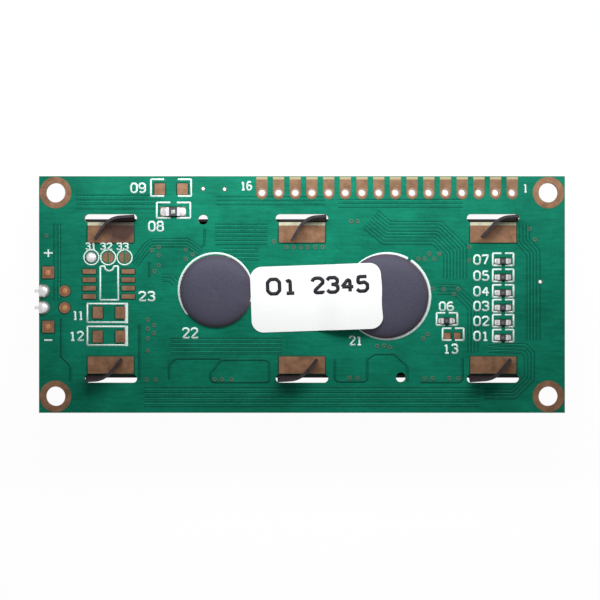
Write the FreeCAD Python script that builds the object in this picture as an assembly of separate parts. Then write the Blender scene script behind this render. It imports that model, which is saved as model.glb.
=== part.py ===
"""A character display module of two rows of sixteen characters, seen from its back.

A folded steel bezel holds a glass cell, a side-lit backlight and two rubber contact strips against the
front of a circuit board. Six hooks of the bezel pass through slots in the board and are bent over on
its back. The back also carries two epoxy chip covers, eight chip resistors, bare copper pads and a
paper sticker. Sixteen plated holes for a connector run along one long edge, and the backlight's two
leads come round the short edge on the left.

Frame, in millimetres: +X runs along the long side, to the right when the back is seen with the
connector holes at the top. +Y points to the connector holes and +Z out of the board's back. The origin
is the middle of the four mounting holes, on the board's front face.
"""
import FreeCAD, Part
import math
import os
from FreeCAD import Vector

# Circuit board
board_length = 80.0
board_width = 36.0
board_thickness = 1.6
copper_thickness = 0.05
copper_edge_margin = 0.1
thin_round_sides = 16

# Mounting holes
mount_hole_radius = 1.5
mount_hole_inset = 2.5
mount_ring_radius = 2.4

# Connector holes, counted from the right
header_count = 16
header_pitch = 2.54
header_hole_radius = 0.5
header_inset = 2.5
header_first_from_edge = 8.0
header_pad_width = 1.7
header_pad_below = 1.0

# Steel bezel
bezel_from_board_end = 4.3
bezel_width = 24.2
bezel_centre_y = -0.6
bezel_sheet = 0.4
bezel_bend_radius = 0.7
bezel_corner_relief = 0.9
bezel_relief_start = 1.3
face_border_at_ends = 3.45
face_border_at_sides = 4.85
window_bevel = 0.25

# Hooks of the bezel and their slots in the board
hook_from_bezel_end = 6.6
hook_end_clearance = 0.3
hook_height = 2.0
hook_rim_lean = 0.62
hook_rim_slant = 4.0
hook_foot_bend_radius = 1.6
hook_rim_bend_radius = 3.2
hook_flag_length = 3.5
hook_angles_above = (55.0, 59.0, 47.0)
hook_angles_below = (51.0, 50.0, 50.0)
hook_corners_above = (-0.3, 0.3, 0.6)
hook_corners_below = (0.5, -0.05, -0.35)
slot_length = 8.0
slot_inner_gap = 0.15
slot_outer_gap = 0.75
hook_pad_length = 7.0
hook_pad_width = 2.6
hook_pad_gap_above = 0.45
hook_pad_gap_below = 0.12
locating_hole_radius = 0.75
locating_hole_x = 15.05
locating_hole_y = 12.0

# Glass cell, from the bezel's face to the backlight
front_polariser_thickness = 0.2
front_glass_thickness = 1.1
rear_glass_thickness = 1.1
rear_polariser_thickness = 0.2
glass_end_clearance = 0.5
front_glass_side_clearance = 0.4
rear_glass_inset = 0.1
polariser_end_inset = 1.5
polariser_side_inset = 0.5
fill_port_width = 3.0
fill_port_bulge = 0.25
fill_port_inset = 0.2

# Backlight
diffuser_thickness = 0.1
light_guide_thickness = 3.2
reflector_thickness = 0.1
frame_floor = 0.6
frame_wall = 0.8
frame_end_clearance = 0.8
guide_clearance = 0.05
lamp_depth = 1.8
lamp_width = 4.4
lamp_height = 2.6
lamp_lens_radius = 1.2
lamp_lens_bulge = 0.5

# The backlight's two leads, from under the lamp round the board's left edge
leads_below_bezel_centre = 0.13
lead_pitch = 2.54
lead_width = 0.5
lead_thickness = 0.3
lead_edge_gap = 0.35
lead_back_reach = 1.1
lead_bend_radius = 0.45
lead_notch_clearance = 0.3

# Rubber strips that carry the contacts from the glass to the board
strip_end_inset = 1.8
strip_thickness = 2.0
strip_wall_clearance = 0.6
strip_frame_clearance = 0.4

# Epoxy chip covers
large_cover_radius = 6.4
large_cover_x = 12.9
large_cover_y = -0.27
small_cover_radius = 5.45
small_cover_x = -13.3
small_cover_y = 0.45
cover_height = 1.3
cover_fullness = 3.5
cover_steps = 6

# Paper sticker, laid on the board and over the large chip cover
sticker_length = 19.9
sticker_width = 10.0
sticker_thickness = 0.1
sticker_corner_radius = 1.8
sticker_turn = 2.0
sticker_end_gap = 0.08
sticker_centre_above_cover = 0.15
sticker_clearance = 0.03
sticker_followed_steps = 4
sticker_ramp_angle = 20.0

# Chip resistors: a column of six, one beside it and a larger one near the connector holes
resistor_length = 1.6
resistor_width = 0.8
resistor_height = 0.45
resistor_cap = 0.3
resistor_cap_step = 0.03
resistor_column_from_right = 9.45
lone_resistor_gap_share = 0.24
resistor_column_gaps = (2.37, 1.54, 1.47, 1.35, 1.38, 1.38, 2.44)
lone_resistor_y = -4.0
large_resistor_length = 2.1
large_resistor_width = 1.3
large_resistor_height = 0.55
large_resistor_cap = 0.4
large_resistor_offset = 3.45
large_resistor_from_edge = 5.4
small_pad_length = 0.75
small_pad_width = 0.9
large_pad_length = 1.3
large_pad_width = 1.45
solder_height_share = 0.75
solder_hollow = 0.36

# Bare pads on the back that carry no component. The jumpers, the chip and the capacitors stand in one
# column, and the gaps in it are counted from the hook pads at the top to those at the bottom.
left_column_gaps = (1.4, 0.945, 1.195, 1.85, 2.13)
top_pads_offset = 3.15
top_pads_from_edge = 1.95
top_pads_spread = 3.45
top_pad_length = 1.6
top_pad_width = 1.7
capacitor_pads_from_left = 10.65
capacitor_pads_count = 2
capacitor_pads_spread = 3.45
capacitor_pad_length = 1.5
capacitor_pad_width = 1.8
small_capacitor_gap_share = 0.3155
small_capacitor_y = -6.3
small_capacitor_spread = 1.5
small_capacitor_pad_length = 1.0
small_capacitor_pad_width = 0.95
chip_pads_from_left = 10.6
chip_pads_spread = 5.9
chip_pad_pitch = 1.27
chip_pad_rows = 4
chip_pad_length = 2.0
chip_pad_width = 0.7
jumpers_from_left = (7.95, 10.5, 13.0)
jumper_radius = 0.85
jumper_split = 0.2
jumper_solder_height = 0.5

# Pads of the backlight at the board's left edge
edge_pad_length = 1.7
edge_pad_radius = 1.04
edge_solder_height = 0.95
square_pad_from_edge = 1.4
square_pad_y = (3.35, -4.9)
square_pad_length = 1.8
round_pad_from_edge = 3.9
round_pad_radius = 0.87

# Places that follow from the sizes above. The stack of parts under the bezel's face sets its depth.
back = board_thickness
pad_top = back + copper_thickness
left_edge = -board_length / 2
right_edge = board_length / 2
top_edge = board_width / 2
guide_back = -(frame_floor + reflector_thickness)
guide_front = guide_back - light_guide_thickness
frame_front = guide_front - diffuser_thickness
rear_glass_back = frame_front - rear_polariser_thickness
rear_glass_front = rear_glass_back - rear_glass_thickness
front_glass_front = rear_glass_front - front_glass_thickness
bezel_face_back = front_glass_front - front_polariser_thickness
bezel_front = bezel_face_back - bezel_sheet
header_first_x = right_edge - header_first_from_edge
header_last_x = header_first_x - header_pitch * (header_count - 1)
header_y = top_edge - header_inset
resistor_column_x = right_edge - resistor_column_from_right
top_left_middle = (left_edge + header_last_x) / 2
bezel_length = board_length - 2 * bezel_from_board_end
wall_inner = bezel_width / 2 - bezel_sheet
wall_middle = bezel_width / 2 - bezel_sheet / 2
slot_inner = wall_inner - slot_inner_gap
slot_outer = bezel_width / 2 + slot_outer_gap
hook_pitch = bezel_length / 2 - hook_from_bezel_end
hook_start = slot_length / 2 - hook_end_clearance
cell_space = bezel_length - 2 * bezel_sheet
glass_length = cell_space - 2 * glass_end_clearance
front_glass_width = 2 * (wall_inner - front_glass_side_clearance)
upper_pads_low = bezel_centre_y + slot_inner - hook_pad_gap_above - hook_pad_width
lower_pads_high = bezel_centre_y - slot_inner + hook_pad_gap_below + hook_pad_width
strip_length = glass_length - 2 * strip_end_inset
strip_inner = wall_inner - strip_wall_clearance - strip_thickness
frame_width = 2 * (strip_inner - strip_frame_clearance)
rear_glass_width = frame_width - 2 * rear_glass_inset
polariser_length = glass_length - 2 * polariser_end_inset
polariser_width = rear_glass_width - 2 * polariser_side_inset
frame_right = cell_space / 2 - frame_end_clearance
frame_left = -frame_right
leads_centre_y = bezel_centre_y - leads_below_bezel_centre
lamp_left = frame_left + frame_wall + guide_clearance
lamp_right = lamp_left + lamp_depth
guide_left = lamp_right + guide_clearance
guide_right = frame_right - frame_wall - guide_clearance
guide_half_width = frame_width / 2 - frame_wall - guide_clearance


def slab(x_low, x_high, y_low, y_high, z_low, z_high):
    return Part.makeBox(x_high - x_low, y_high - y_low, z_high - z_low, Vector(x_low, y_low, z_low))


def block(x, y, length, width, z_low, z_high):
    return slab(x - length / 2, x + length / 2, y - width / 2, y + width / 2, z_low, z_high)


def disc(x, y, radius, z_low, z_high):
    return Part.makeCylinder(radius, z_high - z_low, Vector(x, y, z_low))


def thin_disc(x, y, radius, z_low, z_high):
    """A disc for the thin copper, drawn with few sides because it is so flat."""
    turns = [2 * math.pi * n / thin_round_sides for n in range(thin_round_sides)]
    corners = [Vector(x + radius * math.cos(turn), y + radius * math.sin(turn), z_low) for turn in turns]
    outline = Part.makePolygon(corners + corners[:1])
    return Part.Face(outline).extrude(Vector(0, 0, z_high - z_low))


def obround(x, y, length, width, z_low, z_high):
    half = (length - width) / 2
    middle = block(x, y, 2 * half, width, z_low, z_high)
    ends = [disc(x + side * half, y, width / 2, z_low, z_high) for side in (-1, 1)]
    return middle.multiFuse(ends).removeSplitter()


def prism(edges, direction):
    return Part.Face(Part.Wire(edges)).extrude(direction)


def arc(start, middle, end):
    return Part.Arc(start, middle, end).toShape()


def line(start, end):
    return Part.LineSegment(start, end).toShape()


def save(name, *solids):
    shape = solids[0] if len(solids) == 1 else Part.makeCompound(list(solids))
    shape.exportStep(os.path.join("parts", name + ".step"))


def mount_holes():
    x = board_length / 2 - mount_hole_inset
    y = board_width / 2 - mount_hole_inset
    return [(x * sx, y * sy) for sx in (-1, 1) for sy in (-1, 1)]


def header_holes():
    return [(header_first_x - header_pitch * n, header_y) for n in range(header_count)]


def hook_places():
    """Each hook's x, its side of the bezel (1 towards the connector holes), and its angle and corner."""
    above = 1, hook_angles_above, hook_corners_above
    below = -1, hook_angles_below, hook_corners_below
    for side, angles, corners in (above, below):
        for n, angle, corner_x in zip((-1, 0, 1), angles, corners):
            yield hook_pitch * n, side, angle, corner_x


def locating_holes():
    return [(-locating_hole_x * side, bezel_centre_y + locating_hole_y * side) for side in (-1, 1)]


def lead_rows():
    return [leads_centre_y + lead_pitch / 2, leads_centre_y - lead_pitch / 2]


def middles(widths, gaps):
    """The middle of each width in a column that fills the room between the upper and lower hook pads."""
    room = upper_pads_low - lower_pads_high
    stretch = (room - sum(widths)) / sum(gaps)
    y = upper_pads_low
    for width, gap in zip(widths, gaps):
        y -= gap * stretch + width
        yield y + width / 2


def beside_large_cover(share):
    """An x between the large cover's edge and the column of resistors."""
    edge = large_cover_x + large_cover_radius
    return edge + (resistor_column_x - edge) * share


def left_column():
    """The middles of the jumpers, of the chip's pads and of each capacitor's pads."""
    chip_width = chip_pad_pitch * (chip_pad_rows - 1) + chip_pad_width
    widths = [2 * jumper_radius, chip_width] + [capacitor_pad_width] * capacitor_pads_count
    return list(middles(widths, left_column_gaps))


def small_resistor_places():
    """The column of resistors from the top down, then the one that stands beside it."""
    column = middles([small_pad_width] * (len(resistor_column_gaps) - 1), resistor_column_gaps)
    lone = beside_large_cover(lone_resistor_gap_share), lone_resistor_y
    return [(resistor_column_x, y) for y in column] + [lone]


def large_resistor_place():
    return top_left_middle + large_resistor_offset, top_edge - large_resistor_from_edge


def board_area(z_low, z_high):
    """The board's outline less the margin that copper keeps from its edge."""
    length = board_length - 2 * copper_edge_margin
    width = board_width - 2 * copper_edge_margin
    return block(0, 0, length, width, z_low, z_high)


def circuit_board():
    board = block(0, 0, board_length, board_width, 0, back)
    drills = [disc(x, y, mount_hole_radius, 0, back) for x, y in mount_holes()]
    drills += [disc(x, y, header_hole_radius, 0, back) for x, y in header_holes()]
    drills += [disc(x, y, locating_hole_radius, 0, back) for x, y in locating_holes()]
    slot_middle = (slot_inner + slot_outer) / 2
    slot_width = slot_outer - slot_inner
    for x, side, _, _ in hook_places():
        drills.append(obround(x, bezel_centre_y + side * slot_middle, slot_length, slot_width, 0, back))
    return board.cut(drills)


def pad_hole(x, y, radius, z_low, z_high):
    """The hole in a pad, a hair wider than the board's own so that its flat sides stay clear of it."""
    return thin_disc(x, y, radius / math.cos(math.pi / thin_round_sides), z_low, z_high)


def mount_rings():
    for x, y in mount_holes():
        for z_low in (-copper_thickness, back):
            z_high = z_low + copper_thickness
            ring = thin_disc(x, y, mount_ring_radius, z_low, z_high).common(board_area(z_low, z_high))
            yield ring.cut(pad_hole(x, y, mount_hole_radius, z_low, z_high))


def header_pads():
    """Pads that run from the board's edge round each connector hole, with a round end."""
    half = header_pad_width / 2
    for x, y in header_holes():
        round_y = y - header_pad_below + half
        pad = slab(x - half, x + half, round_y, top_edge - copper_edge_margin, back, pad_top)
        pad = pad.fuse(thin_disc(x, round_y, half, back, pad_top))
        yield pad.cut(pad_hole(x, y, header_hole_radius, back, pad_top)).removeSplitter()


def hook_pads():
    """Bare copper beside each slot, on which a hook is bent down."""
    for x, side, _, _ in hook_places():
        gap = hook_pad_gap_above if side > 0 else hook_pad_gap_below
        y = bezel_centre_y + side * (slot_inner - gap - hook_pad_width / 2)
        yield block(x, y, hook_pad_length, hook_pad_width, back, pad_top)


def pad_pair(x, y, spread, length, width):
    return [block(x + side * spread / 2, y, length, width, back, pad_top) for side in (-1, 1)]


def jumper_places():
    y = left_column()[0]
    return [(left_edge + distance, y) for distance in jumpers_from_left]


def jumper_halves(x, y):
    whole = thin_disc(x, y, jumper_radius, back, pad_top)
    split = block(x, y, jumper_split, 2 * jumper_radius, back, pad_top)
    return whole.cut(split).Solids


def bare_pads():
    x, y = top_left_middle + top_pads_offset, top_edge - top_pads_from_edge
    pads = pad_pair(x, y, top_pads_spread, top_pad_length, top_pad_width)
    _, chip_y, *capacitors_y = left_column()
    x = left_edge + capacitor_pads_from_left
    for y in capacitors_y:
        pads += pad_pair(x, y, capacitor_pads_spread, capacitor_pad_length, capacitor_pad_width)
    pads += pad_pair(
        beside_large_cover(small_capacitor_gap_share),
        small_capacitor_y,
        small_capacitor_spread,
        small_capacitor_pad_length,
        small_capacitor_pad_width,
    )
    x = left_edge + chip_pads_from_left
    for row in range(chip_pad_rows):
        y = chip_y + chip_pad_pitch * ((chip_pad_rows - 1) / 2 - row)
        pads += pad_pair(x, y, chip_pads_spread, chip_pad_length, chip_pad_width)
    for place in jumper_places():
        pads += jumper_halves(*place)
    return pads


def soldered_pads():
    x, y = large_resistor_place()
    spread = large_resistor_length + large_pad_length - 2 * large_resistor_cap
    pads = pad_pair(x, y, spread, large_pad_length, large_pad_width)
    spread = resistor_length + small_pad_length - 2 * resistor_cap
    for x, y in small_resistor_places():
        pads += pad_pair(x, y, spread, small_pad_length, small_pad_width)
    return pads


def edge_pad_round_x():
    return left_edge + edge_pad_length - edge_pad_radius


def edge_pad(y):
    """A pad that runs in from the board's left edge and ends in a half circle."""
    round_x = edge_pad_round_x()
    straight = slab(left_edge, round_x, y - edge_pad_radius, y + edge_pad_radius, back, pad_top)
    return on_board(straight.fuse(thin_disc(round_x, y, edge_pad_radius, back, pad_top))).removeSplitter()


def on_board(shape):
    return shape.common(block(0, 0, board_length, board_width, back, back + board_thickness))


def backlight_pads():
    """Two square pads, two round ones and the two that the leads are soldered to."""
    x = left_edge + square_pad_from_edge
    for y in square_pad_y:
        yield block(x, y, square_pad_length, square_pad_length, back, pad_top)
    for y in lead_rows():
        yield thin_disc(left_edge + round_pad_from_edge, y, round_pad_radius, back, pad_top)
        yield edge_pad(y)


def chip_resistor(x, y, length, width, height, cap):
    """A ceramic bar with a metal cap round each end, which stands on its two pads."""
    step = resistor_cap_step
    bar = block(x, y, length - 2 * step, width - 2 * step, pad_top + step, pad_top + height - step)
    caps = [
        block(x + side * (length - cap) / 2, y, cap, width, pad_top, pad_top + height) for side in (-1, 1)
    ]
    return bar.multiFuse(caps).removeSplitter()


def small_resistor(x, y):
    return chip_resistor(x, y, resistor_length, resistor_width, resistor_height, resistor_cap)


def large_resistor():
    x, y = large_resistor_place()
    return chip_resistor(
        x, y, large_resistor_length, large_resistor_width, large_resistor_height, large_resistor_cap
    )


def solder_fillets(x, y, length, width, height, run):
    """Solder drawn up each end of a resistor, hollow towards the outer end of its pad."""
    rise = height * solder_height_share
    for side in (-1, 1):
        foot = Vector(x + side * length / 2, y - width / 2, pad_top)
        top = foot + Vector(0, 0, rise)
        toe = foot + Vector(side * run, 0, 0)
        hollow = foot + Vector(side * run, 0, 0) * solder_hollow + Vector(0, 0, rise) * solder_hollow
        yield prism([line(foot, top), arc(top, hollow, toe), line(toe, foot)], Vector(0, width, 0))


def resistor_solder():
    x, y = large_resistor_place()
    size = large_resistor_length, large_resistor_width, large_resistor_height
    yield from solder_fillets(x, y, *size, large_pad_length - large_resistor_cap)
    size = resistor_length, resistor_width, resistor_height
    for x, y in small_resistor_places():
        yield from solder_fillets(x, y, *size, small_pad_length - resistor_cap)


def cap_dome(x, y, radius, height, z_low):
    """A round cap cut from a ball, flat side down."""
    ball_radius = (radius**2 + height**2) / (2 * height)
    ball = Part.makeSphere(ball_radius, Vector(x, y, z_low + height - ball_radius))
    return ball.common(disc(x, y, radius, z_low, z_low + height))


def jumper_solder():
    return cap_dome(*jumper_places()[0], jumper_radius, jumper_solder_height, pad_top)


def lead(y):
    """A flat strip of tinned metal, from under the lamp to the board's edge and bent back over it."""
    outer_x = left_edge - lead_edge_gap - lead_thickness
    high = pad_top + lead_thickness
    y_low, y_high = y - lead_width / 2, y + lead_width / 2
    whole = slab(outer_x, lamp_right, y_low, y_high, -lead_thickness, high)
    inside = slab(outer_x + lead_thickness, lamp_right, y_low, y_high, 0, pad_top)
    above = slab(left_edge + lead_back_reach, lamp_right, y_low, y_high, 0, high)
    strip = whole.cut([inside, above])
    corners = [e for e in strip.Edges if all(abs(v.X - outer_x) < 1e-6 for v in e.Vertexes)]
    corners = [e for e in corners if abs(e.Length - lead_width) < 1e-6]
    return strip.makeFillet(lead_bend_radius, corners)


def edge_solder():
    """Domes of solder on the edge pads, each with its lead bedded in it."""
    for y in lead_rows():
        dome = cap_dome(edge_pad_round_x(), y, edge_pad_radius, edge_solder_height, pad_top)
        yield on_board(dome).cut(lead(y))


def bezel_shell():
    """The bezel's face and its four folded walls, open at the corners."""
    outer = block(0, bezel_centre_y, bezel_length, bezel_width, bezel_front, 0)
    inner_length = bezel_length - 2 * bezel_sheet
    inner = block(0, bezel_centre_y, inner_length, bezel_width - 2 * bezel_sheet, bezel_face_back, 0)
    outer = outer.makeFillet(bezel_bend_radius, edges_at_height(outer, bezel_front))
    inner = inner.makeFillet(bezel_bend_radius - bezel_sheet, edges_at_height(inner, bezel_face_back))
    shell = outer.cut(inner)
    relief = 2 * bezel_corner_relief
    relief_front = bezel_front + bezel_relief_start
    for x in (-bezel_length / 2, bezel_length / 2):
        for y in (bezel_centre_y - bezel_width / 2, bezel_centre_y + bezel_width / 2):
            shell = shell.cut(block(x, y, relief, relief, relief_front, 0))
    return shell


def edges_at_height(shape, z):
    return [e for e in shape.Edges if all(abs(v.Z - z) < 1e-6 for v in e.Vertexes)]


def window():
    """The opening for the display, wider at the front by a bevel."""
    low = bezel_front
    opening = Part.Face(window_outline(0, low)).extrude(Vector(0, 0, bezel_sheet))
    mouth = window_outline(window_bevel, low)
    throat = window_outline(0, low + window_bevel)
    return opening.fuse(Part.makeLoft([mouth, throat], True, True))


def window_outline(grow, z):
    x = bezel_length / 2 - face_border_at_ends + grow
    y = bezel_width / 2 - face_border_at_sides + grow
    signs = (-1, -1), (1, -1), (1, 1), (-1, 1)
    corners = [Vector(sx * x, bezel_centre_y + sy * y, z) for sx, sy in signs]
    return Part.makePolygon(corners + corners[:1])


def hook_outline(angle, corner_x, z, lean, slant, radius):
    """The hook seen from above: a root that leans and slants out of the slot, a bend and a flag.

    The flag's line crosses the slot's at the corner's x, whatever the root does.
    """
    half = bezel_sheet / 2
    turn, slant = math.radians(angle), math.radians(slant)
    to_start = Vector(math.cos(slant), -math.sin(slant), 0)
    to_tip = Vector(-math.cos(turn), math.sin(turn), 0)
    run = (hook_start - corner_x - lean / math.tan(turn)) * math.sin(turn) / math.sin(turn - slant)
    corner = Vector(hook_start, -lean, z) - to_start * run
    cut = radius * math.tan((turn - slant) / 2)
    centre = corner + to_start * cut + Vector(math.sin(slant), math.cos(slant), 0) * radius
    tip = Vector(corner_x, 0, z) + to_tip * hook_flag_length

    def on_bend(offset, share):
        at = slant + (turn - slant) * share
        return centre - Vector(math.sin(at), math.cos(at), 0) * (radius + offset)

    def ends(offset):
        start = on_bend(offset, 0) + to_start * (run - cut)
        return start, tip - Vector(math.sin(turn), math.cos(turn), 0) * offset

    outer_start, outer_tip = ends(half)
    inner_start, inner_tip = ends(-half)
    return Part.Wire(
        [
            line(outer_start, on_bend(half, 0)),
            arc(on_bend(half, 0), on_bend(half, 0.5), on_bend(half, 1)),
            line(on_bend(half, 1), outer_tip),
            line(outer_tip, inner_tip),
            line(inner_tip, on_bend(-half, 1)),
            arc(on_bend(-half, 1), on_bend(-half, 0.5), on_bend(-half, 0)),
            line(on_bend(-half, 0), inner_start),
            line(inner_start, outer_start),
        ]
    )


def hook(x, side, angle, corner_x):
    """A root that rises through the slot and leans out of it, with its flag bent inwards over the pad."""
    bend_x = corner_x + hook_foot_bend_radius * math.tan(math.radians(angle) / 2)
    root = block((hook_start + bend_x) / 2, 0, hook_start - bend_x, bezel_sheet, 0, pad_top)
    foot = hook_outline(angle, corner_x, pad_top, 0, 0, hook_foot_bend_radius)
    rim_z = back + hook_height
    rim = hook_outline(angle, corner_x, rim_z, hook_rim_lean, hook_rim_slant, hook_rim_bend_radius)
    head = Part.makeLoft([foot, rim], True, True)
    shape = root.fuse(head)
    # The outline's +y points into the bezel, so the side towards the connector holes is the mirrored one.
    shape = shape.mirror(Vector(0, 0, 0), Vector(0, 1, 0))
    shape.translate(Vector(0, wall_middle, 0))
    if side < 0:
        shape.rotate(Vector(0, 0, 0), Vector(0, 0, 1), 180)
    shape.translate(Vector(x, bezel_centre_y, 0))
    return shape


def lead_notch():
    """A gap in the left wall's rim that keeps the steel off both leads."""
    wall_x = -bezel_length / 2
    width = lead_pitch + lead_width + 2 * lead_notch_clearance
    depth = lead_thickness + lead_notch_clearance
    return block(wall_x, leads_centre_y, 4 * bezel_sheet, width, -depth, 0)


def bezel():
    shell = bezel_shell().cut([window(), lead_notch()])
    return shell.multiFuse([hook(*place) for place in hook_places()]).removeSplitter()


def glass(width, z_low, z_high):
    return block(0, bezel_centre_y, glass_length, width, z_low, z_high)


def polariser(z_low, z_high):
    return block(0, bezel_centre_y, polariser_length, polariser_width, z_low, z_high)


def fill_port_plug():
    """A dab of cured glue over the hole through which the cell was filled, at its right end."""
    start = glass_length / 2
    half = fill_port_width / 2
    y = bezel_centre_y
    z_low, z_high = front_glass_front + fill_port_inset, rear_glass_back - fill_port_inset
    low, high = Vector(start, y - half, z_low), Vector(start, y + half, z_low)
    crown = Vector(start + fill_port_bulge, y, z_low)
    return prism([line(high, low), arc(low, crown, high)], Vector(0, 0, z_high - z_low))


def guide_layer(z_low, z_high):
    y = bezel_centre_y
    return slab(guide_left, guide_right, y - guide_half_width, y + guide_half_width, z_low, z_high)


def light_guide():
    """A clear plate with a hollow in its left end for the lamp's lens."""
    hollow_radius = lamp_lens_radius + lamp_lens_bulge
    hollow_x = guide_left - hollow_radius + guide_clearance
    return guide_layer(guide_front, guide_back).cut(
        disc(hollow_x, leads_centre_y, hollow_radius, guide_front, guide_back)
    )


def backlight_frame():
    """A white tray round the light guide, with a pocket for the lamp and grooves for its leads."""
    y = bezel_centre_y
    half = frame_width / 2
    outer = slab(frame_left, frame_right, y - half, y + half, frame_front, 0)
    half -= frame_wall
    tray = slab(lamp_right, frame_right - frame_wall, y - half, y + half, frame_front, -frame_floor)
    half = lamp_width / 2 + guide_clearance
    low, high = leads_centre_y - half, leads_centre_y + half
    pocket = slab(lamp_left - guide_clearance, lamp_right, low, high, frame_front, 0)
    grooves = [
        slab(frame_left, lamp_left, lead_y - lead_width / 2, lead_y + lead_width / 2, -lead_thickness, 0)
        for lead_y in lead_rows()
    ]
    return outer.cut([tray, pocket, *grooves])


def lamp():
    """The white lamp, with a round lens that faces along the light guide."""
    z_back = -lead_thickness
    z_front = z_back - lamp_height
    body_end = lamp_right - lamp_lens_bulge
    y = leads_centre_y
    half = lamp_width / 2
    body = slab(lamp_left, body_end, y - half, y + half, z_front, z_back)
    low = Vector(body_end, y - lamp_lens_radius, z_front)
    high = Vector(body_end, y + lamp_lens_radius, z_front)
    crown = Vector(lamp_right, y, z_front)
    lens = prism([line(high, low), arc(low, crown, high)], Vector(0, 0, z_back - z_front))
    return body.fuse(lens).removeSplitter()


def contact_strip(side):
    y = bezel_centre_y + side * (strip_inner + strip_thickness / 2)
    return block(0, y, strip_length, strip_thickness, rear_glass_front, 0)


def cover_outline(radius):
    """Half a chip cover's section from its middle to its foot, on one curve fuller than an ellipse."""
    turns = [math.pi / 2 * n / cover_steps for n in range(cover_steps)]
    power = 2 / cover_fullness
    curve = [Vector(radius * math.sin(t) ** power, 0, cover_height * math.cos(t) ** power) for t in turns]
    return curve + [Vector(radius, 0, 0)]


def chip_cover(x, y, radius):
    """A drop of black epoxy: nearly flat on top, and round and steep at its side."""
    middle = Vector(0, 0, 0)
    section = Part.makePolygon([middle, *cover_outline(radius), middle])
    drop = Part.Face(section).revolve(middle, Vector(0, 0, 1), 360)
    drop.translate(Vector(x, y, back))
    return drop


def sticker_underside():
    """The sheet from its side, with the large cover's middle at the origin, from its top to the board."""
    lift = Vector(0, 0, cover_height + sticker_clearance)
    followed = cover_outline(large_cover_radius)[: sticker_followed_steps + 1]
    over_cover = [Vector(-corner.x, 0, corner.z + sticker_clearance) for corner in followed]
    last = over_cover[-1]
    foot = Vector(last.x - last.z / math.tan(math.radians(sticker_ramp_angle)), 0, 0)
    beyond = Vector(sticker_length, 0, 0)
    return [beyond + lift, *over_cover, foot, foot - beyond]


def sticker():
    """Paper that lies on the board and comes up over the large chip cover."""
    under = sticker_underside()
    over = [corner + Vector(0, 0, sticker_thickness) for corner in reversed(under)]
    side_view = Part.Face(Part.makePolygon([*under, *over, under[0]]))
    sheet = side_view.extrude(Vector(0, 4 * sticker_width, 0))
    sheet.translate(Vector(0, -2 * sticker_width, 0))
    start_x = small_cover_x + small_cover_radius + sticker_end_gap - large_cover_x
    centre_x = start_x + sticker_length / 2
    height = 2 * cover_height
    cutter = block(centre_x, sticker_centre_above_cover, sticker_length, sticker_width, 0, height)
    upright = [edge for edge in cutter.Edges if abs(edge.BoundBox.ZLength - height) < 1e-6]
    paper = sheet.common(cutter.makeFillet(sticker_corner_radius, upright))
    paper.rotate(Vector(0, 0, 0), Vector(0, 0, 1), sticker_turn)
    paper.translate(Vector(large_cover_x, large_cover_y, back))
    return paper


def build():
    os.makedirs("parts", exist_ok=True)
    save("circuit_board", circuit_board())
    save("mounting_hole_rings", *mount_rings())
    save("connector_hole_pads", *header_pads())
    save("hook_pads", *hook_pads())
    save("bare_component_pads", *bare_pads())
    save("soldered_pads", *soldered_pads())
    save("backlight_pads", *backlight_pads())
    save("bezel", bezel())
    save("front_polariser", polariser(bezel_face_back, front_glass_front))
    save("front_glass", glass(front_glass_width, front_glass_front, rear_glass_front))
    save("rear_glass", glass(rear_glass_width, rear_glass_front, rear_glass_back))
    save("rear_polariser", polariser(rear_glass_back, frame_front))
    save("fill_port_plug", fill_port_plug())
    save("diffuser_film", guide_layer(frame_front, guide_front))
    save("light_guide", light_guide())
    save("reflector_film", guide_layer(guide_back, -frame_floor))
    save("backlight_frame", backlight_frame())
    save("backlight_lamp", lamp())
    save("backlight_lead_upper", lead(leads_centre_y + lead_pitch / 2))
    save("backlight_lead_lower", lead(leads_centre_y - lead_pitch / 2))
    save("backlight_lead_solder", *edge_solder())
    save("contact_strip_upper", contact_strip(1))
    save("contact_strip_lower", contact_strip(-1))
    save("chip_cover_large", chip_cover(large_cover_x, large_cover_y, large_cover_radius))
    save("chip_cover_small", chip_cover(small_cover_x, small_cover_y, small_cover_radius))
    save("sticker", sticker())
    for number, (x, y) in enumerate(small_resistor_places(), 1):
        save(f"chip_resistor_{number}", small_resistor(x, y))
    save("chip_resistor_large", large_resistor())
    save("resistor_solder", *resistor_solder())
    save("jumper_solder", jumper_solder())


build()
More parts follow.
